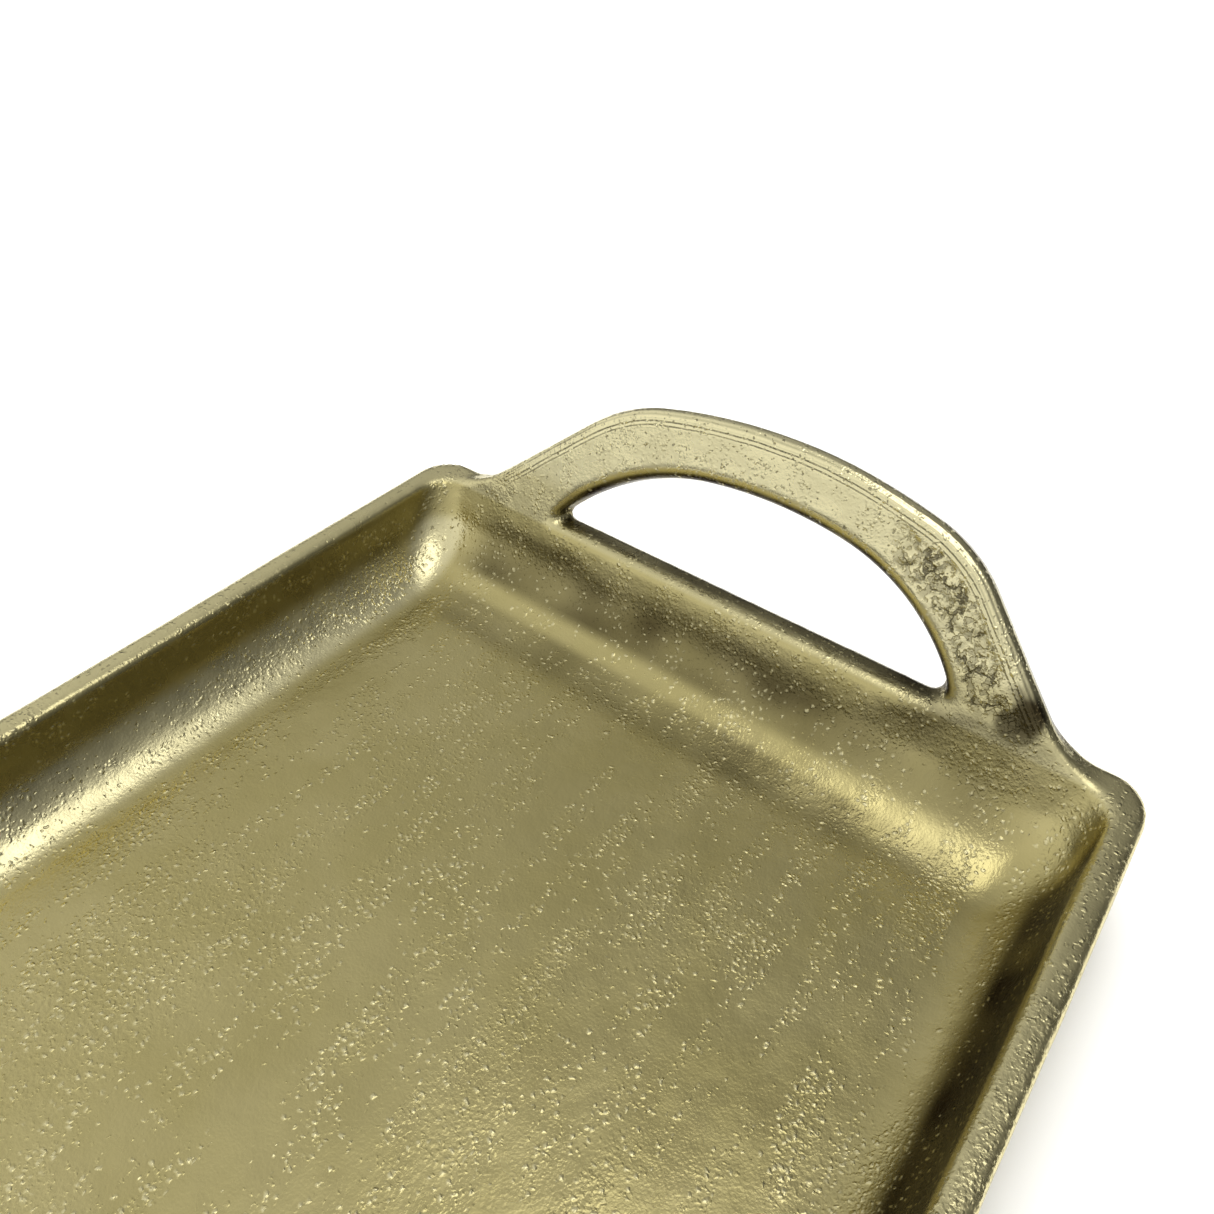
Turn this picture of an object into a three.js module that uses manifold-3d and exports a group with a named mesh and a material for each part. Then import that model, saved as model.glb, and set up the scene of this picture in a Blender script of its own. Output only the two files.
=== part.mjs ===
// Sand-cast brass serving tray: a shallow rectangular pan whose two end walls carry on
// upwards as leaning plates with arched handles, standing on four round felt pads.
// Millimetres, +X along the tray, +Z up, origin on the table under the middle of the tray.

import * as THREE from 'three';
import { mergeVertices } from 'three/addons/utils/BufferGeometryUtils.js';
import Module from 'manifold-3d';

const wasm = await Module();
wasm.setup();

// Driving dimensions
const rimLength = 380;
const rimWidth = 200;
const depth = 21; // rim down to the floor inside
const floorThickness = 4.2;
const sideWall = 6.5; // flat top of the rim along the sides
const plateThickness = 6.9; // end wall and handle, square to their faces
const sideLean = THREE.MathUtils.degToRad(10); // outwards from upright
const endLean = THREE.MathUtils.degToRad(30);

const outerCorner = { rim: 9, base: 12 }; // corner radii in plan
const innerCorner = { rim: 7, base: 13 };
const floorFillet = 13.5; // inside, wall to floor
const undersideRound = 5;
const rimOuterRound = 2;
const rimInnerRound = 1.5;

const padHeight = 2.5;
const padRadius = 9;
const padEdge = 0.5;
const padInset = { x: 40, y: 26 }; // pad centre in from the rim's outside
const seam = 0.3; // adhesive under the pan, and the line where a handle meets the rim

// Handle outline in the plane of its plate: y across the tray, s up the slope from the rim
const archHeight = 43.5;
const crownRadius = 150;
const crownAngle = THREE.MathUtils.degToRad(14.1); // from the middle to the shoulder
const shoulderRadius = 40;
const limbAngle = THREE.MathUtils.degToRad(45);

const openingHeight = 27.8;
const openingCrownRadius = 118;
const openingCrownAngle = THREE.MathUtils.degToRad(8.8);
const openingShoulderRadius = 56;
const openingTipAngle = THREE.MathUtils.degToRad(48);
const openingTipRadius = 5;

const edgeRound = 1.5; // round along the handle's edges
const buried = 12; // handle outline carried below the rim before it is cut off there
const cornerSteps = 8;
const arcSteps = 8;
const padSides = 40;

// Levels and widths worked out from them
const underside = padHeight + seam;
const floorLevel = underside + floorThickness;
const rimTop = floorLevel + depth;
const endRim = plateThickness / Math.cos(endLean); // flat top of the rim at the ends

const brass = { color: 0xb9ab72, roughness: 0.34, metalness: 1 };
const felt = { color: 0x33322e, roughness: 1, metalness: 0 };

// How far a leaning wall has come in from its top edge, at a height above the flat
// that it blends into with a round of the given radius.
function insetAt(height, rise, lean, radius) {
  const tangentHeight = radius * (1 - Math.sin(lean));
  if (height >= tangentHeight) return (rise - height) * Math.tan(lean);
  const centre = (rise - tangentHeight) * Math.tan(lean) + radius * Math.cos(lean);
  return centre - Math.sqrt(radius ** 2 - (radius - height) ** 2);
}

// Heights that follow that round evenly, from the flat up to where the steeper wall leaves it
function blendHeights(radius, lean) {
  const heights = [];
  for (let i = 0; i <= arcSteps; i++) {
    const angle = THREE.MathUtils.lerp(Math.PI / 2, lean, i / arcSteps);
    heights.push(radius * (1 - Math.sin(angle)));
  }
  return heights;
}

// One level of the pan: a rectangle with round corners, anticlockwise from above
function ring(halfLength, halfWidth, radius, z) {
  const points = [];
  const corners = [[1, 1], [-1, 1], [-1, -1], [1, -1]];
  corners.forEach(([sx, sy], quarter) => {
    for (let i = 0; i <= cornerSteps; i++) {
      const angle = (quarter + i / cornerSteps) * Math.PI / 2;
      const x = sx * (halfLength - radius) + radius * Math.cos(angle);
      const y = sy * (halfWidth - radius) + radius * Math.sin(angle);
      points.push(new THREE.Vector3(x, y, z));
    }
  });
  return points;
}

// Closed skin through a stack of rings, ending in a flat at each end
function loft(rings) {
  const count = rings[0].length;
  const positions = rings.flat().flatMap((p) => p.toArray());
  const indices = [];
  for (let i = 0; i + 1 < rings.length; i++) {
    for (let j = 0; j < count; j++) {
      const next = (j + 1) % count;
      const a = i * count + j;
      const b = i * count + next;
      indices.push(a, b, b + count, a, b + count, a + count);
    }
  }
  const first = rings.length * count;
  const last = first + 1;
  positions.push(0, 0, rings[0][0].z, 0, 0, rings.at(-1)[0].z);
  const top = (rings.length - 1) * count;
  for (let j = 0; j < count; j++) {
    const next = (j + 1) % count;
    indices.push(first, next, j, last, top + j, top + next);
  }
  const geometry = new THREE.BufferGeometry();
  geometry.setAttribute('position', new THREE.Float32BufferAttribute(positions, 3));
  geometry.setIndex(indices);
  return geometry;
}

// Pan: up the outside from the underside, over the rim and down the inside to the floor
function panGeometry() {
  const rings = [];
  const addRing = (endInset, sideInset, radius, z) => {
    rings.push(ring(rimLength / 2 - endInset, rimWidth / 2 - sideInset, radius, z));
  };

  const rise = rimTop - underside;
  const outsideHeights = [...blendHeights(undersideRound, sideLean), rise - rimOuterRound];
  for (const height of outsideHeights) {
    const endInset = insetAt(height, rise, endLean, undersideRound);
    const sideInset = insetAt(height, rise, sideLean, undersideRound);
    const radius = THREE.MathUtils.lerp(outerCorner.base, outerCorner.rim, height / rise);
    addRing(endInset, sideInset, radius, underside + height);
  }

  const shoulder = { end: rimOuterRound * Math.tan(endLean), side: rimOuterRound * Math.tan(sideLean) };
  for (const angle of [30, 60, 90].map(THREE.MathUtils.degToRad)) {
    const inwards = rimOuterRound * (1 - Math.cos(angle));
    const up = rimOuterRound * (1 - Math.sin(angle));
    const radius = outerCorner.rim - inwards / 2;
    addRing(shoulder.end * (1 - Math.sin(angle)) + inwards, shoulder.side * (1 - Math.sin(angle)) + inwards,
      radius, rimTop - up);
  }

  for (const angle of [90, 60, 30].map(THREE.MathUtils.degToRad)) {
    const back = rimInnerRound * (1 - Math.cos(angle));
    const down = rimInnerRound * (1 - Math.sin(angle));
    addRing(endRim - back + down * Math.tan(endLean), sideWall - back + down * Math.tan(sideLean),
      innerCorner.rim, rimTop - down);
  }

  const insideHeights = [...blendHeights(floorFillet, sideLean), depth - rimInnerRound].reverse();
  for (const height of insideHeights) {
    const endInset = endRim + insetAt(height, depth, endLean, floorFillet);
    const sideInset = sideWall + insetAt(height, depth, sideLean, floorFillet);
    const radius = THREE.MathUtils.lerp(innerCorner.base, innerCorner.rim, height / depth);
    addRing(endInset, sideInset, radius, floorLevel + height);
  }
  return loft(rings);
}

// Half outline from the middle of the crown down one side, for the +y limb
function archSide(height, crown, angle, shoulder, endAngle, steps) {
  const points = [];
  for (let i = 0; i <= steps; i++) {
    const a = angle * i / steps;
    points.push(new THREE.Vector2(crown * Math.sin(a), height - crown * (1 - Math.cos(a))));
  }
  const centre = new THREE.Vector2(Math.sin(angle), Math.cos(angle)).multiplyScalar(crown - shoulder);
  centre.y += height - crown;
  for (let i = 1; i <= steps; i++) {
    const a = THREE.MathUtils.lerp(angle, endAngle, i / steps);
    points.push(new THREE.Vector2(Math.sin(a), Math.cos(a)).multiplyScalar(shoulder).add(centre));
  }
  return points;
}

// Arch with its opening: outside edge, foot, opening edge, and the mirror of each
function archShape() {
  const outside = archSide(archHeight, crownRadius, crownAngle, shoulderRadius, limbAngle, arcSteps);
  const shoulderEnd = outside.at(-1);
  const run = (shoulderEnd.y + buried) / Math.tan(limbAngle);
  outside.push(new THREE.Vector2(shoulderEnd.x + run, -buried));

  const inside = archSide(openingHeight, openingCrownRadius, openingCrownAngle, openingShoulderRadius,
    openingTipAngle, arcSteps);
  const tip = inside.at(-1);
  const away = new THREE.Vector2(Math.sin(openingTipAngle), Math.cos(openingTipAngle));
  const centre = tip.clone().addScaledVector(away, -openingTipRadius);
  const lastAngle = THREE.MathUtils.degToRad(135);
  for (let i = 1; i <= arcSteps; i++) {
    const a = THREE.MathUtils.lerp(openingTipAngle, lastAngle, i / arcSteps);
    inside.push(new THREE.Vector2(Math.sin(a), Math.cos(a)).multiplyScalar(openingTipRadius).add(centre));
  }
  const tipEnd = inside.at(-1);
  inside.push(new THREE.Vector2(tipEnd.x - (tipEnd.y + buried), -buried));

  const half = [...outside, ...inside.reverse()];
  const mirrored = half.slice(1, -1).reverse().map((p) => new THREE.Vector2(-p.x, p.y));
  return [half, mirrored];
}

function solidOf(geometry) {
  const bare = geometry.clone();
  bare.deleteAttribute('normal');
  bare.deleteAttribute('uv');
  const merged = mergeVertices(bare, 1e-4);
  return new wasm.Manifold(new wasm.Mesh({
    numProp: 3,
    vertProperties: Float32Array.from(merged.attributes.position.array),
    triVerts: Uint32Array.from(merged.index.array),
  }));
}

function geometryOf(solid) {
  const mesh = solid.getMesh();
  const geometry = new THREE.BufferGeometry();
  geometry.setAttribute('position', new THREE.BufferAttribute(mesh.vertProperties, 3));
  geometry.setIndex(new THREE.BufferAttribute(mesh.triVerts, 1));
  return geometry;
}

// Handle plate in its own plane, laid back at the end wall's lean and cut level above the rim
function handleGeometry() {
  const [half, mirrored] = archShape();
  const shape = new THREE.Shape([...half, ...mirrored]);
  const plate = new THREE.ExtrudeGeometry(shape, {
    depth: plateThickness - 2 * edgeRound,
    bevelThickness: edgeRound,
    bevelSize: edgeRound,
    bevelOffset: -edgeRound,
    bevelSegments: 3,
  });
  plate.translate(0, 0, edgeRound);

  const across = new THREE.Vector3(0, 1, 0);
  const upSlope = new THREE.Vector3(Math.sin(endLean), 0, Math.cos(endLean));
  const outwards = new THREE.Vector3(Math.cos(endLean), 0, -Math.sin(endLean));
  const lay = new THREE.Matrix4().makeBasis(across, upSlope, outwards);
  lay.setPosition(rimLength / 2 - endRim, 0, rimTop);
  plate.applyMatrix4(lay);

  const keepHeight = archHeight * 2;
  const keep = new THREE.BoxGeometry(rimLength, rimWidth * 2, keepHeight);
  keep.translate(rimLength / 2, 0, rimTop + seam + keepHeight / 2);
  return geometryOf(solidOf(plate).intersect(solidOf(keep)));
}

function padGeometry() {
  const profile = [
    new THREE.Vector2(0, 0),
    new THREE.Vector2(padRadius - padEdge, 0),
    new THREE.Vector2(padRadius, padEdge),
    new THREE.Vector2(padRadius, padHeight),
    new THREE.Vector2(0, padHeight),
  ];
  const geometry = new THREE.LatheGeometry(profile, padSides);
  geometry.rotateX(Math.PI / 2);
  return geometry;
}

function named(name, geometry, finish) {
  const mesh = new THREE.Mesh(geometry, new THREE.MeshStandardMaterial(finish));
  mesh.name = name;
  return mesh;
}

const tray = new THREE.Group();
tray.add(named('tray_pan', panGeometry(), brass));

const handleRight = named('handle_right', handleGeometry(), brass);
const handleLeft = named('handle_left', handleGeometry(), brass);
handleLeft.rotation.z = Math.PI;
tray.add(handleRight, handleLeft);

for (const [depthName, sy] of [['front', -1], ['rear', 1]]) {
  for (const [sideName, sx] of [['left', -1], ['right', 1]]) {
    const pad = named(`felt_pad_${depthName}_${sideName}`, padGeometry(), felt);
    pad.position.set(sx * (rimLength / 2 - padInset.x), sy * (rimWidth / 2 - padInset.y), 0);
    tray.add(pad);
  }
}

export default tray;
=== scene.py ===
import itertools
import math

import bmesh
import bpy
import numpy as np
from mathutils import Matrix, Vector


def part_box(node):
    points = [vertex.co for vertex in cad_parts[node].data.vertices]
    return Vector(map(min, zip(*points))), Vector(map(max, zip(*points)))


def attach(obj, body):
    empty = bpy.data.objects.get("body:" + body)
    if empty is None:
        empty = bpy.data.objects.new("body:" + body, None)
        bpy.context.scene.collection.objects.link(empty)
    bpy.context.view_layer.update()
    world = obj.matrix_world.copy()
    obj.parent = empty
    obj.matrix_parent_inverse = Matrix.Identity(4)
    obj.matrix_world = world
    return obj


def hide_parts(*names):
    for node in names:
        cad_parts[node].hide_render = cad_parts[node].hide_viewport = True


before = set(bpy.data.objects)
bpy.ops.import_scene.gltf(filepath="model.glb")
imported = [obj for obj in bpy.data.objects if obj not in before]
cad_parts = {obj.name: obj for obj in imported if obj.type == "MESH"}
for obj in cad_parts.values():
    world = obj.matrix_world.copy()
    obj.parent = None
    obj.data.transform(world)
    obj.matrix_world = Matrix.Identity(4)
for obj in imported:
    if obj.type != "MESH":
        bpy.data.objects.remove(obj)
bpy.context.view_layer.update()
mm = 0.001
print("frame loaded")

panLow, panHigh = (np.array(corner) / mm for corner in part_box("tray_pan"))

casting = {  # millimetres and degrees
    "rimLength": 380,
    "rimWidth": 200,
    "underside": panLow[2],
    "floorLevel": panLow[2] + 4.2,
    "rimTop": panHigh[2],
    "sideWall": 6.5,
    "plateThickness": 6.9,
    "sideLean": 10,
    "endLean": 30,
    "outerCorner": (12, 9),  # plan radius at the base and at the rim
    "innerCorner": (13, 7),
    "floorFillet": 13.5,
    "undersideRound": 5,
    "outerRound": 2,
    "rimInnerRound": 1.7,
    "handleFrontRound": 3.2,
    "frontRoundGrows": 12,  # over this much of the plate, upwards from the rim
    "footCut": 1.2,  # the handles part from the pan this far above the rim
}

arch = {"height": 43.5, "crownRadius": 150, "crownAngle": 14.1, "shoulderRadius": 40, "limbAngle": 45}
opening = {"height": 27.8, "crownRadius": 118, "crownAngle": 8.8, "shoulderRadius": 56, "limbAngle": 58}
foot = {  # concave rounds where the handle meets the rim, by place across the tray
    "places": (-70, -52, 52, 70),
    "radii": (5, 6, 3, 5),
}

sideLean = math.radians(casting["sideLean"])
endLean = math.radians(casting["endLean"])
endRim = casting["plateThickness"] / math.cos(endLean)
plateFoot = casting["rimLength"] / 2 - endRim  # front face of the handle plate, level with the rim
cutHeight = casting["rimTop"] + casting["footCut"]


def roundMax(a, b, radius):
    inner = np.minimum(-radius, np.maximum(a, b))
    return inner + np.hypot(np.maximum(a + radius, 0), np.maximum(b + radius, 0))


def roundMin(a, b, radius):
    return -roundMax(-a, -b, radius)


def smoothStep(low, high, value):
    share = np.clip((value - low) / (high - low), 0, 1)
    return share * share * (3 - 2 * share)


def outlineDistance(across, up, shape):
    # one crown arc, then a shoulder arc and a straight limb on each side
    crownAngle = math.radians(shape["crownAngle"])
    limbAngle = math.radians(shape["limbAngle"])
    reach = shape["crownRadius"] - shape["shoulderRadius"]
    crownUp = up - shape["height"] + shape["crownRadius"]
    shoulderOut = np.abs(across) - reach * math.sin(crownAngle)
    shoulderUp = crownUp - reach * math.cos(crownAngle)
    onCrown = np.hypot(across, crownUp) - shape["crownRadius"]
    onShoulder = np.hypot(shoulderOut, shoulderUp) - shape["shoulderRadius"]
    onLimb = shoulderOut * math.sin(limbAngle) + shoulderUp * math.cos(limbAngle) - shape["shoulderRadius"]
    pastShoulder = np.where(np.arctan2(shoulderOut, shoulderUp) < limbAngle, onShoulder, onLimb)
    return np.where(np.arctan2(np.abs(across), crownUp) < crownAngle, onCrown, pastShoulder)


def handlePlace(points):
    # across the tray and up the plate; the second handle is the first turned half round
    across = np.where(points[:, 0] > 0, points[:, 1], -points[:, 1])
    outwards = np.abs(points[:, 0]) - plateFoot
    rise = points[:, 2] - casting["rimTop"]
    up = outwards * math.sin(endLean) + rise * math.cos(endLean)
    behind = outwards * math.cos(endLean) - rise * math.sin(endLean)
    return across, up, behind


def wallDistances(points, sideAt, endAt, corners):
    rise = points[:, 2] - casting["rimTop"]
    side = (np.abs(points[:, 1]) - sideAt - rise * math.tan(sideLean)) * math.cos(sideLean)
    end = (np.abs(points[:, 0]) - endAt - rise * math.tan(endLean)) * math.cos(endLean)
    corner = np.interp(points[:, 2], (casting["floorLevel"], casting["rimTop"]), corners)
    return roundMax(side, end, corner)


def castingDistance(points):
    across, up, behind = handlePlace(points)
    length, width = casting["rimLength"] / 2, casting["rimWidth"] / 2
    outer = wallDistances(points, width, length, casting["outerCorner"])
    outer = roundMax(outer, casting["underside"] - points[:, 2], casting["undersideRound"])
    cavity = wallDistances(points, width - casting["sideWall"], plateFoot, casting["innerCorner"])
    cavity = roundMax(cavity, casting["floorLevel"] - points[:, 2], casting["floorFillet"])
    hand = np.maximum(outlineDistance(across, up, arch), -outlineDistance(across, up, opening))
    hand = np.maximum(hand, -behind - casting["plateThickness"])
    blend = np.interp(across, foot["places"], foot["radii"])
    top = roundMin(points[:, 2] - casting["rimTop"], hand, blend)
    handle = smoothStep(0, casting["frontRoundGrows"], up)
    frontRound = casting["rimInnerRound"] * (1 - handle) + casting["handleFrontRound"] * handle
    return roundMax(roundMax(outer, top, casting["outerRound"]), -cavity, frontRound)


net = {
    "step": 1.25,  # millimetres between grid points
    "margin": 2,  # empty steps round the casting
    "flatWithin": 0.001,
    "easings": 3,
    "undersideBlock": 4,  # steps in one face of the flat underside
    "cutWithin": 0.02,  # points this near the cut are moved onto it
    "leastSteep": 0.2,  # keeps a step short where the field is flat
}


def gradient(points, reach=0.05):
    slopes = []
    for axis in np.eye(3):
        slopes.append(castingDistance(points + reach * axis) - castingDistance(points - reach * axis))
    return np.stack(slopes, 1) / (2 * reach)


def settle(points, rounds):
    for _ in range(rounds):
        slope = gradient(points)
        steep = np.maximum((slope**2).sum(1), net["leastSteep"])
        points = points - (castingDistance(points) / steep)[:, None] * slope
    return points


def surfaceNet(low, counts, step):
    # one vertex in each grid cell that the surface crosses, and one quad round each crossed grid edge
    axes = [low[axis] + step * np.arange(counts[axis]) for axis in range(3)]
    across, up = (grid.ravel() for grid in np.meshgrid(axes[1], axes[2], indexing="ij"))
    field = np.empty(counts)
    for index, x in enumerate(axes[0]):
        slab = np.stack((np.full(across.size, x), across, up), 1)
        field[index] = castingDistance(slab).reshape(counts[1:])
    total = int(np.prod(counts))
    sums, hits, quads = np.zeros((total, 3)), np.zeros(total), []
    for axis in range(3):
        side, other = np.eye(3, dtype=int)[[(axis + 1) % 3, (axis + 2) % 3]]
        nearer = np.moveaxis(np.moveaxis(field, axis, 0)[:-1], 0, axis)
        further = np.moveaxis(np.moveaxis(field, axis, 0)[1:], 0, axis)
        crossed = np.argwhere((nearer < 0) != (further < 0))
        a, b = nearer[tuple(crossed.T)], further[tuple(crossed.T)]
        crossing = crossed.astype(float)
        crossing[:, axis] += a / (a - b)
        shifts = (0, side, side + other, other)
        cells = [np.ravel_multi_index((crossed - shift).T, counts) for shift in shifts]
        for cell in cells:
            hits += np.bincount(cell, minlength=total)
            for part in range(3):
                sums[:, part] += np.bincount(cell, crossing[:, part], total)
        ring = np.stack(cells, 1)
        quads.append(np.where((a < 0)[:, None], ring, ring[:, ::-1]))
    used = np.flatnonzero(hits)
    number = np.full(total, -1)
    number[used] = np.arange(used.size)
    points = sums[used] / hits[used][:, None] * step + low
    return points, number[np.concatenate(quads)], np.stack(np.unravel_index(used, counts), 1)


def relax(points, quads, held, rounds):
    around = np.bincount(quads.ravel(), minlength=len(points)) * 2
    for _ in range(rounds):
        total = np.zeros_like(points)
        for turn in (1, 3):
            for part in range(3):
                reached = points[np.roll(quads, turn, 1).ravel(), part]
                total[:, part] += np.bincount(quads.ravel(), reached, len(points))
        eased = 0.5 * points + 0.5 * total / around[:, None]
        points = settle(np.where(held[:, None], points, eased), 1)
    return points


def blankMesh():
    # the bare casting in millimetres, finer on the handles and coarser on the flat underside
    step, margin = net["step"], net["margin"]
    reach = np.array(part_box("handle_right")[1]) / mm
    reach[1] = panHigh[1]
    half = np.ceil(reach[:2] / step).astype(int) + margin
    # the underside lies midway between two layers of the grid
    low = np.array((-half[0] * step, -half[1] * step, casting["underside"] - (margin + 0.5) * step))
    counts = (2 * half[0] + 1, 2 * half[1] + 1, int((reach[2] - low[2]) / step) + margin + 1)
    points, quads, cells = surfaceNet(low, counts, step)
    flat = np.abs(points[:, 2] - casting["underside"]) < net["flatWithin"]
    points = settle(relax(points, quads, flat, net["easings"]), 2)
    print("casting surface", len(points), "vertices")

    mesh = bpy.data.meshes.new("blank")
    mesh.from_pydata(points, [], quads)
    shape = bmesh.new()
    shape.from_mesh(mesh)
    shape.verts.ensure_lookup_table()
    spare = []
    for edge in shape.edges:
        a, b = (vert.index for vert in edge.verts)
        along = 0 if cells[a, 0] == cells[b, 0] else 1
        if flat[a] and flat[b] and cells[a, along] % net["undersideBlock"]:
            spare.append(edge)
    bmesh.ops.dissolve_edges(shape, edges=spare, use_verts=True)
    whole = shape.verts[:] + shape.edges[:] + shape.faces[:]
    bmesh.ops.bisect_plane(shape, geom=whole, dist=net["cutWithin"], plane_co=(0, 0, cutHeight),
                           plane_no=(0, 0, 1))
    fine = {edge for face in shape.faces if face.calc_center_median().z > cutHeight for edge in face.edges}
    bmesh.ops.subdivide_edges(shape, edges=list(fine), cuts=1, use_grid_fill=True)
    shape.to_mesh(mesh)
    shape.free()
    return mesh


latticeSize = 32  # the noise repeats after this many of its own sizes


def noiseAt(points, size, seed):
    # smooth value noise from -1 to 1, one random value for each lattice point
    table = np.random.default_rng(seed).uniform(-1, 1, (latticeSize,) * 3)
    cell = points / np.array(size)
    base = np.floor(cell).astype(int)
    part = cell - base
    part = part * part * (3 - 2 * part)
    total = np.zeros(len(points))
    for corner in itertools.product((0, 1), repeat=3):
        near = (base + corner) % latticeSize
        weight = np.prod(np.where(corner, part, 1 - part), axis=1)
        total += weight * table[near[:, 0], near[:, 1], near[:, 2]]
    return total


paintedShadeAndTarnish = {  # painted shade, tarnish and a stain, from 0 to 1; a pair of millimetres is where each starts and where it is full
    "seed": 31,
    "patchSize": 9,
    "patchContrast": 0.25,
    "wallShade": (0.9, 0.10),  # front wall and rear wall
    "wallDepth": (15, 9.5),  # how far below the rim, on the same two walls
    "wallFade": (4, 0),
    "wallBelowRim": (0.6, 2.5),
    "offWall": (8, 1.5),
    "offEnd": (-6, -12),
    "soffitShade": 0.95,
    "soffitInward": (3.0, 1.0),
    "soffitUp": (2.5, 5),
    "soffitBehind": (0.1, 1.2),
    "sillShade": 0.75,
    "sillInward": (1, -2),
    "sillHeight": 4,
    "sillUp": (6, 4.5),
    "sillBehind": (1.6, 3.4),
    "sillAboveRim": (-3, -1),
    "outsideShade": 0.85,
    "outsideEdge": (1.6, 0.2),
    "outsideUp": (2, 6),
    "outsideBehind": (1.2, 4),
    "stainShade": 0.8,
    "stainPlace": (-70, 5),  # by one foot of each handle: across and up
    "stainReach": (6.5, 10.83),
    "stainEdge": (1, 0.3),
    "stainBehind": (3, 1),
    "stainRag": (3.5, 0.45),  # size of its ragged edge and share of its reach
    "endShade": 0.68,
    "endPatch": (9, 17, 6),
    "endPatchRange": (0.85, 0.35),
    "endFront": (-4.2, -2.2),  # behind the handle's front face
    "endBack": (4, 2),
    "endTop": ((-62, -38), (-5, 2)),  # across, and below the rim at that place
    "endTopFade": 4,
    "filletShade": 0.65,
    "filletFront": (-18, -11),
    "filletBack": (-5.4, -7.4),
    "endAcross": (84, 66),
    "limbFootAcross": (-40, -60),
    "limbFootSpared": 0.35,
}


def wallPaintedShade(points, behind, fromRim):
    # painted shade: the side walls darkened below the rim, the front wall far more than the rear
    front = points[:, 1] < 0
    face = casting["rimWidth"] / 2 - casting["sideWall"] - fromRim * math.tan(sideLean)
    share = smoothStep(*paintedShadeAndTarnish["offWall"], np.abs(np.abs(points[:, 1]) - face))
    share *= smoothStep(*paintedShadeAndTarnish["wallBelowRim"], fromRim)
    share *= smoothStep(*paintedShadeAndTarnish["wallFade"], fromRim - np.where(front, *paintedShadeAndTarnish["wallDepth"]))
    share *= smoothStep(*paintedShadeAndTarnish["offEnd"], behind)
    return share * np.where(front, *paintedShadeAndTarnish["wallShade"])


def openingPaintedShade(across, up, behind, fromRim):
    # painted shade under the top of the handle's opening and on the sill behind its front edge
    soffit = smoothStep(*paintedShadeAndTarnish["soffitInward"], outlineDistance(across, up, opening))
    soffit *= smoothStep(*paintedShadeAndTarnish["soffitUp"], up)
    soffit *= smoothStep(*paintedShadeAndTarnish["soffitBehind"], behind)
    overSill = outlineDistance(across, np.maximum(up, paintedShadeAndTarnish["sillHeight"]), opening)
    sill = smoothStep(*paintedShadeAndTarnish["sillInward"], overSill)
    sill *= smoothStep(*paintedShadeAndTarnish["sillBehind"], behind)
    sill *= smoothStep(*paintedShadeAndTarnish["sillUp"], up)
    sill *= smoothStep(*paintedShadeAndTarnish["sillAboveRim"], -fromRim)
    return np.maximum(paintedShadeAndTarnish["soffitShade"] * soffit, paintedShadeAndTarnish["sillShade"] * sill)


def outsidePaintedShade(across, up, behind):
    # painted shade on the handle's outer side, just behind its front edge
    share = smoothStep(*paintedShadeAndTarnish["outsideEdge"], -outlineDistance(across, up, arch))
    share *= smoothStep(*paintedShadeAndTarnish["outsideBehind"], behind)
    share *= smoothStep(*paintedShadeAndTarnish["outsideUp"], up)
    return share * paintedShadeAndTarnish["outsideShade"]


def footStain(points, across, up, behind):
    place, reach = paintedShadeAndTarnish["stainPlace"], paintedShadeAndTarnish["stainReach"]
    size, raggedness = paintedShadeAndTarnish["stainRag"]
    away = np.hypot((across - place[0]) / reach[0], (up - place[1]) / reach[1])
    away += raggedness * noiseAt(points, size, paintedShadeAndTarnish["seed"] + 2)
    onFace = smoothStep(*paintedShadeAndTarnish["stainBehind"], np.abs(behind))
    return paintedShadeAndTarnish["stainShade"] * smoothStep(*paintedShadeAndTarnish["stainEdge"], away) * onFace


def endTarnishAndPaintedShade(points, across, behind, fromRim):
    # painted shade on the end wall and on the floor's edge, partly tarnish on the wall, with a painted
    # highlight left bright along the fillet between them
    wall = smoothStep(*paintedShadeAndTarnish["endFront"], behind)
    wall *= smoothStep(*paintedShadeAndTarnish["endBack"], behind)
    wall *= smoothStep(0, paintedShadeAndTarnish["endTopFade"], fromRim - np.interp(across, *paintedShadeAndTarnish["endTop"]))
    fillet = smoothStep(*paintedShadeAndTarnish["filletFront"], behind) * smoothStep(*paintedShadeAndTarnish["filletBack"], behind)
    least, most = paintedShadeAndTarnish["endPatchRange"]
    share = np.maximum(wall, paintedShadeAndTarnish["filletShade"] * fillet)
    share *= least + most * noiseAt(points, paintedShadeAndTarnish["endPatch"], paintedShadeAndTarnish["seed"] + 1)
    share *= smoothStep(*paintedShadeAndTarnish["endAcross"], np.abs(across))
    share *= 1 - paintedShadeAndTarnish["limbFootSpared"] * smoothStep(*paintedShadeAndTarnish["limbFootAcross"], across)
    return share * paintedShadeAndTarnish["endShade"]


def paintedShadeAndTarnishAt(points):
    # how dark each place is painted: painted shade in the hollows and along the handle's edges, tarnish on
    # part of the end wall, and a stain by one foot of each handle
    across, up, behind = handlePlace(points)
    fromRim = casting["rimTop"] - points[:, 2]
    shade = np.maximum.reduce([
        wallPaintedShade(points, behind, fromRim),
        openingPaintedShade(across, up, behind, fromRim),
        outsidePaintedShade(across, up, behind),
        footStain(points, across, up, behind),
        endTarnishAndPaintedShade(points, across, behind, fromRim),
    ])
    patchy = 1 + paintedShadeAndTarnish["patchContrast"] * noiseAt(points, paintedShadeAndTarnish["patchSize"], paintedShadeAndTarnish["seed"])
    return np.clip(shade * patchy, 0, 1)


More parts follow.
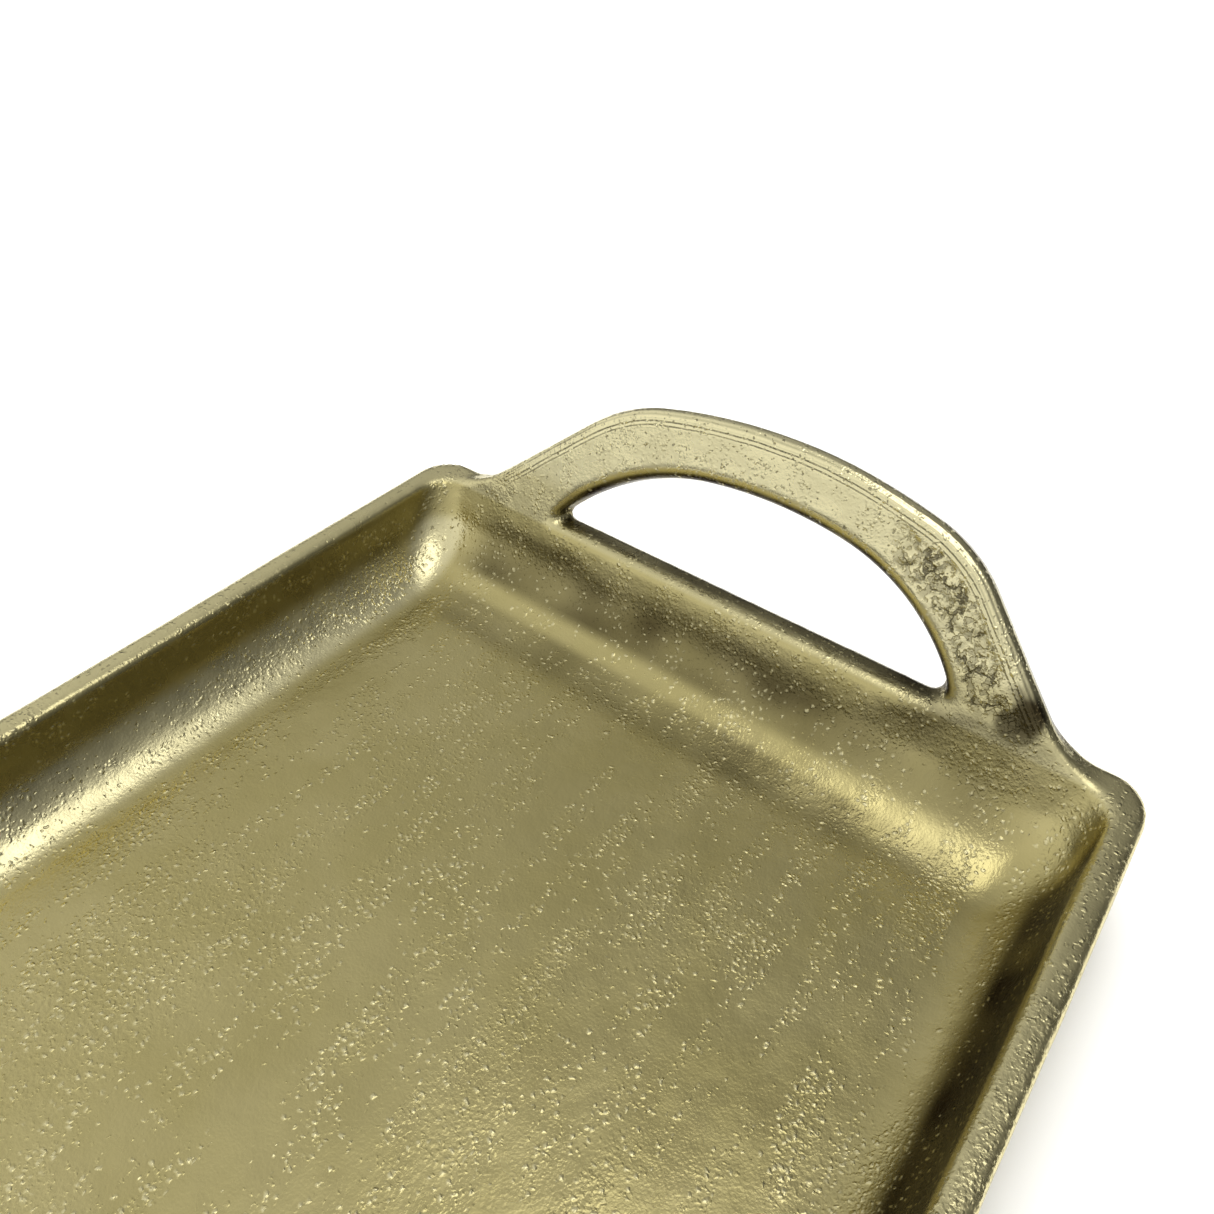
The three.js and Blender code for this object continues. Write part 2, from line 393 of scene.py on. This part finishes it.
skin = {  # millimetres: what sand, shrinkage and grinding leave on the casting
    "seed": 11,
    "waves": ((34, 0.20), (13, 0.07)),  # size and height of the slow unevenness
    "handleUp": (4, 14),  # the ground handles start and are full here
    "handleBehind": (-10, -2),
    "clusterSize": (30, 8, 12),  # grains gather in bands that run along the tray
    "clusterEdge": (-0.1, 0.6),
    "groundOff": 0.75,  # share of the grain that grinding takes off the handles
    "grainSize": 2.7,
    "grainEdge": (0.1, 0.8),
    "grainHeight": 0.10,
    "plainBase": 1,  # no grain below this height over the underside
    "scabSize": 3.4,
    "scabDepth": 0.28,
    "scabPitEdge": (0.15, 0.65),
    "scabAcross": (-26, -36),  # so on one limb of each handle
    "scabUp": (2, 5),
    "scabBehind": (3, 1),
    "scabFromEdge": (4.6, 5.8),
    "scabFromOpening": (2.5, 4.5),
    "scabRag": 6,  # size and reach of its ragged outline
    "edgeRag": 1.5,
    "edgeBehind": -3,  # the rubbed edge is marked on the face, and not over the pan
    "edgeUp": 5,
    "edgeOver": -1.5,
    "edgeFar": 20,
    "filletHighlight": 0.8,  # a painted highlight along the rear fillet; wear leaves the rim pale
    "filletAcross": ((78, 82), (92, 90)),
    "filletDeep": (7, 10),
    "rimRub": 0.5,
    "rimDeep": (1.0, 0.4),
}


def scabAt(points, across, up, behind):
    # where shrinkage tore the skin, kept clear of the handle's edges
    ragged = noiseAt(points, skin["scabRag"], skin["seed"] + 7)
    scab = smoothStep(*skin["scabAcross"], across + skin["scabRag"] * ragged)
    scab *= smoothStep(*skin["scabUp"], up)
    scab *= smoothStep(*skin["scabFromEdge"], skin["edgeRag"] * ragged - outlineDistance(across, up, arch))
    scab *= smoothStep(*skin["scabFromOpening"], ragged + outlineDistance(across, up, opening))
    return scab * smoothStep(*skin["scabBehind"], np.abs(behind))


def wearAndHighlightAt(points, onHandle):
    # real wear on the handles and the rim, and a painted highlight along the rear fillet
    fromRim = casting["rimTop"] - points[:, 2]
    inner, outer = skin["filletAcross"]
    fillet = smoothStep(*inner, points[:, 1]) * smoothStep(*outer, points[:, 1])
    fillet *= smoothStep(*skin["filletDeep"], fromRim)
    rim = smoothStep(*skin["rimDeep"], fromRim)
    return np.maximum.reduce([onHandle, skin["filletHighlight"] * fillet, skin["rimRub"] * rim])


def castSkin(points):
    # height to add in millimetres, with what the material needs to know at each vertex
    seed = skin["seed"]
    across, up, behind = handlePlace(points)
    onHandle = smoothStep(*skin["handleUp"], up) * smoothStep(*skin["handleBehind"], behind)
    height = np.zeros(len(points))
    for number, (size, rise) in enumerate(skin["waves"]):
        height += rise * noiseAt(points, size, seed + number)
    cluster = smoothStep(*skin["clusterEdge"], noiseAt(points, skin["clusterSize"], seed + 5))
    shade = paintedShadeAndTarnishAt(points)
    rough = np.maximum(cluster, shade) * (1 - skin["groundOff"] * onHandle)
    inside = points[:, 2] > casting["underside"] + skin["plainBase"]
    grain = smoothStep(*skin["grainEdge"], noiseAt(points, skin["grainSize"], seed + 6))
    height += skin["grainHeight"] * grain * rough * inside
    scab = scabAt(points, across, up, behind)
    pits = smoothStep(*skin["scabPitEdge"], np.abs(noiseAt(points, skin["scabSize"], seed + 8)))
    height -= skin["scabDepth"] * scab * pits
    edge = -outlineDistance(across, up, arch)
    onFace = (edge > skin["edgeOver"]) & (up > skin["edgeUp"]) & (behind > skin["edgeBehind"])
    edge = np.where(onFace, np.minimum(edge, skin["edgeFar"]), skin["edgeFar"])
    wearAndHighlight = wearAndHighlightAt(points, onHandle)
    return height, {"rough": rough, "scab": scab, "edge": edge, "wearAndHighlight": wearAndHighlight, "shade": shade}


def castingMesh():
    mesh = blankMesh()
    points = np.empty(len(mesh.vertices) * 3)
    mesh.vertices.foreach_get("co", points)
    points = settle(points.reshape(-1, 3), 1)
    slope = gradient(points)
    slope /= np.linalg.norm(slope, axis=1)[:, None]
    height, facts = castSkin(points)
    points = (points + height[:, None] * slope) * mm
    mesh.vertices.foreach_set("co", points.ravel())
    for name, values in facts.items():
        mesh.attributes.new(name, "FLOAT", "POINT").data.foreach_set("value", values)
    mesh.update()
    normals = np.empty(len(mesh.vertices) * 3)
    mesh.vertex_normals.foreach_get("vector", normals)
    mesh.attributes.new("lie", "FLOAT_VECTOR", "POINT").data.foreach_set("vector", normals)
    return mesh


def partFrom(whole, name, keeps):
    # the faces of one piece, closed where it was cut, with the normals it had in the whole
    shape = bmesh.new()
    shape.from_mesh(whole)
    spare = [face for face in shape.faces if not keeps(face.calc_center_median() / mm)]
    bmesh.ops.delete(shape, geom=spare, context="FACES")
    openEdges = [edge for edge in shape.edges if edge.is_boundary]
    bmesh.ops.holes_fill(shape, edges=openEdges, sides=0)
    mesh = bpy.data.meshes.new(name)
    shape.to_mesh(mesh)
    shape.free()
    mesh.polygons.foreach_set("use_smooth", [True] * len(mesh.polygons))
    normals = np.empty(len(mesh.vertices) * 3, np.float32)
    mesh.attributes["lie"].data.foreach_get("vector", normals)
    mesh.normals_split_custom_set_from_vertices(normals.reshape(-1, 3))
    mesh.attributes.remove(mesh.attributes["lie"])
    piece = bpy.data.objects.new(name, mesh)
    bpy.context.scene.collection.objects.link(piece)
    return piece


def linearColour(code):
    values = [int(code[place:place + 2], 16) / 255 for place in (1, 3, 5)]
    return (*(v / 12.92 if v <= 0.04045 else ((v + 0.055) / 1.055) ** 2.4 for v in values), 1)


def addNode(tree, kind, sockets=(), output=0, **settings):
    # a node with its settings; each socket takes a value or another node's output, and one output comes back
    node = tree.nodes.new("ShaderNode" + kind)
    for name, value in settings.items():
        setattr(node, name, value)
    for name, value in dict(sockets).items():
        if isinstance(value, bpy.types.NodeSocket):
            tree.links.new(value, node.inputs[name])
        else:
            node.inputs[name].default_value = value
    return node.outputs[output] if node.outputs else None


def newMaterial(name):
    material = bpy.data.materials.new(name)
    material.use_nodes = True
    tree = material.node_tree
    tree.nodes.clear()
    return material, tree


brass = {
    "pale": "#DACE98",
    "olive": "#C0B47A",
    # pale polished brass, also used as a painted highlight
    "bare": "#F4EBBB",
    # the dark colour of painted shade, and of tarnish, pits and folds
    "paintedShadeAndTarnish": "#2A1E0B",
    "roughness": (0.21, 0.33),
    "bevelPolish": 0.10,  # how much smoother the rubbed edge is
    "noises": {  # width in millimetres and detail; real sand is 0.2 mm, drawn coarser so that it shows
        "sand": (0.55, 2),
        "crust": (0.9, 2),
        "swell": (3.2, 2),
        "pit": (1.1, 1),
        "scab": (1.54, 4),
        "foldGap": (5, 2),
        "lineWander": (14, 2),
        "satin": (9, 2),
        "blotch": (22, 3),
    },
    "grainWidth": 1.3,
    "smallGrainWidth": 0.85,
    "grainWander": (1.7, 1.6),  # width of the bends that make grains ragged, and how far they reach
    "grainEdge": (0.52, 0.03),  # share of its width where a grain starts and where it is full
    "smallGrainEdge": (0.6, 0.03),
    "bands": (26, 5.5, 8),
    "bandEdge": (0.44, 0.66),
    "foldWidth": 4.5,
    "foldWander": (2.5, 5),
    "marks": {  # where each noise turns into a mark
        "scab": (0.52, 0.44),
        "pit": (0.33, 0.25),
        "foldGap": (0.45, 0.55),
        "fold": (0.09, 0.02),
    },
    "lineWidth": 1.1,
    "lineWaver": 0.8,
    "lineStart": (-1.0, 0.5),
    "bevel": (5.2, 4.2),  # the rubbed edge of the handle starts and is full here
    "heights": {  # millimetres
        "grain": 0.12,
        "smallGrain": 0.07,
        "sand": 0.05,
        "swell": 0.10,
        "crust": 0.16,
        "line": 0.045,
        "scab": -0.22,
        "pit": -0.12,
        "fold": -0.25,
    },
    "darkened": {"scab": 0.35, "pit": 0.5, "fold": 0.75},
    "oftenInBands": 0.75,
    "oftenOnRough": 0.25,
    "smallInBands": 0.53,
    "smallOnRough": 0.5,
    "grainPolishAndHighlight": 0.75,
    "handlePolish": 0.97,
    "mostPale": 0.35,
    "grainInPaintedShade": 0.5,  # how dark a raised grain stays where shade is painted; the lighter grain is a painted highlight
    "middle": (0.3, 0.7),  # the part of a noise that spreads a colour or a finish
}


def sandCastBrass():
    # brass, sand cast and tumbled: pale gold, satin, with raised grains in bands whose tops are polished and
    # painted bright as a highlight, dark pits, and painted shade where the shade attribute says
    material, tree = newMaterial("sandCastBrass")
    place = addNode(tree, "TexCoord", output="Object")
    known = {}
    for name in ("rough", "scab", "edge", "wearAndHighlight", "shade"):
        known[name] = addNode(tree, "Attribute", output="Fac", attribute_name=name)
    noises = {}
    for name, (width, detail) in brass["noises"].items():
        sockets = {"Vector": place, "Scale": 1 / (width * mm), "Detail": detail}
        noises[name] = addNode(tree, "TexNoise", sockets)
    bent = {}
    for name in ("grainWander", "foldWander"):
        width, reach = brass[name]
        sockets = {"Vector": place, "Scale": 1 / (width * mm), "Detail": 3.0}
        wander = addNode(tree, "TexNoise", sockets, output="Color")
        wander = addNode(tree, "VectorMath", {0: wander, "Scale": reach * mm}, operation="SCALE")
        bent[name] = addNode(tree, "VectorMath", {0: place, 1: wander}, operation="ADD")

    stretch = [1 / (width * mm) for width in brass["bands"]]
    banded = addNode(tree, "Mapping", {"Vector": place, "Scale": stretch})
    bands = addNode(tree, "TexNoise", {"Vector": banded, "Scale": 1.0, "Detail": 3.0})
    low, high = brass["bandEdge"]
    gathered = addNode(tree, "MapRange", {"Value": bands, "From Min": low, "From Max": high},
                       interpolation_type="SMOOTHSTEP")
    grains = {}
    for name, channel, inBands, onRough in (
            ("grain", "Red", "oftenInBands", "oftenOnRough"),
            ("smallGrain", "Green", "smallInBands", "smallOnRough")):
        sockets = {"Vector": bent["grainWander"], "Scale": 1 / (brass[name + "Width"] * mm)}
        reach = addNode(tree, "TexVoronoi", sockets)
        colours = addNode(tree, "TexVoronoi", sockets, output="Color")
        chance = addNode(tree, "SeparateColor", {"Color": colours}, output=channel)
        low, high = brass[name + "Edge"]
        bead = addNode(tree, "MapRange", {"Value": reach, "From Min": low, "From Max": high},
                       interpolation_type="SMOOTHSTEP")
        often = addNode(tree, "Math", {0: known["rough"], 1: brass[onRough]}, operation="MULTIPLY")
        often = addNode(tree, "Math", {0: gathered, 1: brass[inBands], 2: often}, operation="MULTIPLY_ADD")
        often = addNode(tree, "Math", {0: often, 1: chance}, operation="GREATER_THAN")
        grains[name] = addNode(tree, "Math", {0: bead, 1: often}, operation="MULTIPLY")

    sockets = {"Vector": bent["foldWander"], "Scale": 1 / (brass["foldWidth"] * mm)}
    folds = addNode(tree, "TexVoronoi", sockets, output="Distance", feature="DISTANCE_TO_EDGE")
    marks = {}
    for name, value, where in (
            ("scab", noises["scab"], "scab"),
            ("pit", noises["pit"], "wearAndHighlight"),
            ("foldGap", noises["foldGap"], "scab"),
            ("fold", folds, "scab")):
        low, high = brass["marks"][name]
        mark = addNode(tree, "MapRange", {"Value": value, "From Min": low, "From Max": high},
                       interpolation_type="SMOOTHSTEP")
        marks[name] = addNode(tree, "Math", {0: mark, 1: known[where]}, operation="MULTIPLY")
    fold = addNode(tree, "Math", {0: marks["fold"], 1: marks["foldGap"]}, operation="MULTIPLY")
    crust = addNode(tree, "Math", {0: known["rough"], 1: noises["crust"]}, operation="MULTIPLY")

    low, high = brass["bevel"]
    bevel = addNode(tree, "MapRange", {"Value": known["edge"], "From Min": low, "From Max": high},
                    interpolation_type="SMOOTHSTEP")
    low, high = brass["lineStart"]
    onFace = addNode(tree, "MapRange", {"Value": known["edge"], "From Min": low, "From Max": high},
                     interpolation_type="SMOOTHSTEP")
    wavy = addNode(tree, "Math", {0: noises["lineWander"], 1: brass["lineWaver"], 2: known["edge"]},
                   operation="MULTIPLY_ADD")
    turns = addNode(tree, "Math", {0: wavy, 1: 2 * math.pi / brass["lineWidth"]}, operation="MULTIPLY")
    lines = addNode(tree, "Math", {0: turns}, operation="SINE")
    lines = addNode(tree, "Math", {0: lines, 1: bevel}, operation="MULTIPLY")
    lines = addNode(tree, "Math", {0: lines, 1: onFace}, operation="MULTIPLY")

    height = 0.0
    layers = {"sand": noises["sand"], "swell": noises["swell"], "crust": crust, "line": lines,
              "scab": marks["scab"], "pit": marks["pit"], "fold": fold, **grains}
    for name, layer in layers.items():
        height = addNode(tree, "Math", {0: layer, 1: brass["heights"][name], 2: height},
                         operation="MULTIPLY_ADD")
    bump = addNode(tree, "Bump", {"Height": height, "Strength": 1.0, "Distance": mm})

    low, high = brass["middle"]
    blotch = addNode(tree, "MapRange", {
        "Value": noises["blotch"], "From Min": low, "From Max": high, "To Max": brass["mostPale"]},
        interpolation_type="SMOOTHSTEP")
    colour = addNode(tree, "Mix", {
        "Factor": blotch, 6: linearColour(brass["olive"]), 7: linearColour(brass["pale"])},
        output=2, data_type="RGBA")
    # raised grains and worn places get the pale bare colour: partly polish, partly a painted highlight
    onGrains = addNode(tree, "Math", {0: grains["grain"], 1: brass["grainPolishAndHighlight"]}, operation="MULTIPLY")
    onHandles = addNode(tree, "Math", {0: known["wearAndHighlight"], 1: brass["handlePolish"]}, operation="MULTIPLY")
    polishAndHighlight = addNode(tree, "Math", {0: onGrains, 1: onHandles}, operation="MAXIMUM")
    colour = addNode(tree, "Mix", {"Factor": polishAndHighlight, 6: colour, 7: linearColour(brass["bare"])},
                     output=2, data_type="RGBA")
    # painted highlight: raised grains stay lighter inside the painted shade
    kept = addNode(tree, "MapRange", {
        "Value": grains["grain"], "From Min": 0.9, "From Max": 0.1, "To Min": brass["grainInPaintedShade"]},
        interpolation_type="SMOOTHSTEP")
    # painted shade from the shade attribute, with tarnish, pits and folds darkened
    dark = addNode(tree, "Math", {0: known["shade"], 1: kept}, operation="MULTIPLY")
    for name, layer in (("scab", marks["scab"]), ("pit", marks["pit"]), ("fold", fold)):
        share = addNode(tree, "Math", {0: layer, 1: brass["darkened"][name]}, operation="MULTIPLY")
        dark = addNode(tree, "Math", {0: dark, 1: share}, operation="MAXIMUM")
    colour = addNode(tree, "Mix", {"Factor": dark, 6: colour, 7: linearColour(brass["paintedShadeAndTarnish"])},
                     output=2, data_type="RGBA")
    smooth, satin = brass["roughness"]
    roughness = addNode(tree, "MapRange", {
        "Value": noises["satin"], "From Min": low, "From Max": high, "To Min": smooth, "To Max": satin},
        interpolation_type="SMOOTHSTEP")
    roughness = addNode(tree, "Math", {0: bevel, 1: -brass["bevelPolish"], 2: roughness},
                        operation="MULTIPLY_ADD")
    shader = addNode(tree, "BsdfPrincipled", {
        "Base Color": colour, "Metallic": 1.0, "Roughness": roughness, "Normal": bump})
    addNode(tree, "OutputMaterial", {"Surface": shader})
    return material


felt = {
    "wool": "#3A3834",
    "lighter": "#56534C",
    "fibreWidth": 0.35,  # millimetres; wool is 0.02 mm, drawn coarser so that it shows
    "fibreRise": 0.2,
    "edgeRound": 0.5,
    "sides": 72,
    "unevenness": 0.12,
    "unevenSize": 1.6,
    "seed": 3,
}


def pressedFelt():
    # wool felt, pressed: matt, with short pale fibres lying every way and a soft sheen at the edge
    material, tree = newMaterial("pressedWoolFelt")
    place = addNode(tree, "TexCoord", output="Object")
    fibre = {"Vector": place, "Scale": 1 / (felt["fibreWidth"] * mm), "Detail": 4.0, "Distortion": 1.5}
    fibres = addNode(tree, "TexNoise", fibre)
    colour = addNode(tree, "Mix", {
        "Factor": fibres, 6: linearColour(felt["wool"]), 7: linearColour(felt["lighter"])},
        output=2, data_type="RGBA")
    bump = addNode(tree, "Bump", {"Height": fibres, "Strength": 1.0, "Distance": felt["fibreRise"] * mm})
    shader = addNode(tree, "BsdfPrincipled", {
        "Base Color": colour, "Roughness": 0.95, "Sheen Weight": 0.3, "Normal": bump})
    addNode(tree, "OutputMaterial", {"Surface": shader})
    return material


def feltPad(name, node, material):
    # a punched disc with soft, slightly uneven edges
    low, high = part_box(node)
    middle = (low + high) / 2
    radius, thick, soft = (high.x - low.x) / 2, high.z - low.z, felt["edgeRound"] * mm
    profile = [(radius / 2, 0), (radius - soft, 0), (radius, soft), (radius, thick / 2)]
    profile += [(radius, thick - soft), (radius - soft, thick), (radius / 2, thick)]
    turn = np.linspace(0, 2 * math.pi, felt["sides"], endpoint=False)
    rings = []
    for reach, rise in profile:
        rings.append(np.stack((reach * np.cos(turn), reach * np.sin(turn), np.full(turn.size, rise)), 1))
    points = np.concatenate(rings)
    noise = noiseAt(points / mm + middle.x / mm, felt["unevenSize"], felt["seed"])
    out = np.hypot(points[:, 0], points[:, 1])
    points[:, :2] *= (1 - (1 + noise) / 2 * felt["unevenness"] * mm / out)[:, None]
    points = np.concatenate([points, [(0, 0, 0), (0, 0, thick)]]) + (middle.x, middle.y, low.z)
    sides, last = felt["sides"], len(profile) - 1
    faces = []
    for side in range(sides):
        after = (side + 1) % sides
        for ring in range(last):
            first, second = ring * sides, (ring + 1) * sides
            faces.append((first + side, first + after, second + after, second + side))
        faces.append((after, side, len(points) - 2))
        faces.append((last * sides + side, last * sides + after, len(points) - 1))
    mesh = bpy.data.meshes.new(name)
    mesh.from_pydata(points, [], faces)
    mesh.materials.append(material)
    mesh.polygons.foreach_set("use_smooth", [True] * len(faces))
    pad = bpy.data.objects.new(name, mesh)
    bpy.context.scene.collection.objects.link(pad)
    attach(pad, "root")
    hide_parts(node)
    return pad


shot = {  # degrees, millimetres; aimed at a point level with the rim
    "azimuth": -56.2,
    "elevation": 39.92,
    "roll": 3.82,
    "distance": 256,
    "aimFromEnd": 25.7,
    "aimAcross": 23.7,
    "lens": 31.5,
    "sensor": 36,
}


def addCamera():
    turn, rise, roll = (math.radians(shot[name]) for name in ("azimuth", "elevation", "roll"))
    forward = Vector((-math.sin(turn) * math.cos(rise), math.cos(turn) * math.cos(rise), -math.sin(rise)))
    level = forward.cross((0, 0, 1)).normalized()
    upright = level.cross(forward)
    right = level * math.cos(roll) + upright * math.sin(roll)
    above = right.cross(forward)
    aim = Vector((casting["rimLength"] / 2 - shot["aimFromEnd"], shot["aimAcross"], casting["rimTop"]))
    eye = (aim - forward * shot["distance"]) * mm
    lens = bpy.data.cameras.new("camera")
    lens.lens, lens.sensor_width, lens.clip_start = shot["lens"], shot["sensor"], 0.01
    camera = bpy.data.objects.new("camera", lens)
    turned = Matrix((right, above, -forward)).transposed()
    camera.matrix_world = Matrix.Translation(eye) @ turned.to_4x4()
    bpy.context.scene.collection.objects.link(camera)
    bpy.context.scene.camera = camera


studio = {
    "floor": "#F4F3EF",
    "floorReach": 1.5,
    "room": "#FFFFFF",
    "brightDirection": (-0.70, 0.60, 0.06),
    "turnedRange": (-0.85, 1.0),  # from facing away to facing the bright side
    "raisedRange": (0.10, 0.42),  # from the dark skirting up to the bright wall
    "darkest": 0.10,
    "lightest": 1.0,
    "seen": 1.0,
    "softbox": ((0.12, -0.20, 1.2), 0.7, 2.3),  # place and size in metres, power in watts
    "wash": ((0.4, 0.4, 2.2), 2.5, 75),  # reaches the paper only
    "aim": (0.1, 0, 0.03),
}


def addSoftbox(name, place, size, power):
    light = bpy.data.lights.new(name, "AREA")
    light.shape, light.size, light.energy = "SQUARE", size, power
    lamp = bpy.data.objects.new(name, light)
    aim = Vector(studio["aim"]) - Vector(place)
    lamp.location, lamp.rotation_euler = place, aim.to_track_quat("-Z", "Y").to_euler()
    bpy.context.scene.collection.objects.link(lamp)
    return lamp


def addPaper():
    reach = studio["floorReach"]
    corners = [(-reach, -reach, 0), (reach, -reach, 0), (reach, reach, 0), (-reach, reach, 0)]
    mesh = bpy.data.meshes.new("floor")
    mesh.from_pydata(corners, [], [(0, 1, 2, 3)])
    floor = bpy.data.objects.new("floor", mesh)
    bpy.context.scene.collection.objects.link(floor)
    material, tree = newMaterial("mattPaperSweep")
    shader = addNode(tree, "BsdfPrincipled", {"Base Color": linearColour(studio["floor"]), "Roughness": 0.9})
    addNode(tree, "OutputMaterial", {"Surface": shader})
    mesh.materials.append(material)
    addSoftbox("softbox", *studio["softbox"])
    paperOnly = bpy.data.collections.new("paperOnly")
    paperOnly.objects.link(floor)
    addSoftbox("paperWash", *studio["wash"]).light_linking.receiver_collection = paperOnly


def addRoom():
    # a room that is brightest on one side and dark low down, and plain white where the camera sees it
    world = bpy.data.worlds.new("studioRoom")
    bpy.context.scene.world = world
    world.use_nodes = True
    tree = world.node_tree
    tree.nodes.clear()
    towards = addNode(tree, "TexCoord", output="Generated")
    brightest = Vector(studio["brightDirection"]).normalized()
    facing = addNode(tree, "VectorMath", {0: towards, 1: brightest}, output="Value", operation="DOT_PRODUCT")
    height = addNode(tree, "SeparateXYZ", {"Vector": towards}, output="Z")
    low, high = studio["turnedRange"]
    turned = addNode(tree, "MapRange", {"Value": facing, "From Min": low, "From Max": high})
    low, high = studio["raisedRange"]
    raised = addNode(tree, "MapRange", {"Value": height, "From Min": low, "From Max": high})
    lit = addNode(tree, "Math", {0: turned, 1: raised}, operation="MULTIPLY")
    low, high = studio["darkest"], studio["lightest"]
    strength = addNode(tree, "MapRange", {"Value": lit, "To Min": low, "To Max": high})
    white = linearColour(studio["room"])
    room = addNode(tree, "Background", {"Color": white, "Strength": strength})
    paper = addNode(tree, "Background", {"Color": white, "Strength": studio["seen"]})
    seen = addNode(tree, "LightPath", output="Is Camera Ray")
    view = addNode(tree, "MixShader", {0: seen, 1: room, 2: paper})
    addNode(tree, "OutputWorld", {"Surface": view})
    bpy.context.scene.view_settings.view_transform = "Standard"


addCamera()
addPaper()
addRoom()
print("camera and studio set")

whole = castingMesh()
castBrass = sandCastBrass()
parts = {
    "pan_casting": ("tray_pan", lambda middle: middle.z < cutHeight),
    "handle_casting_right": ("handle_right", lambda middle: middle.z >= cutHeight and middle.x > 0),
    "handle_casting_left": ("handle_left", lambda middle: middle.z >= cutHeight and middle.x < 0),
}
for name, (node, keeps) in parts.items():
    piece = partFrom(whole, name, keeps)
    piece.data.materials.append(castBrass)
    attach(piece, "root")
    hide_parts(node)
    print(name, len(piece.data.polygons), "faces")

woolFelt = pressedFelt()
for end in ("left", "right"):
    for side in ("front", "rear"):
        feltPad("felt_disc_" + side + "_" + end, "felt_pad_" + side + "_" + end, woolFelt)
print("pads laid")

bpy.context.view_layer.update()
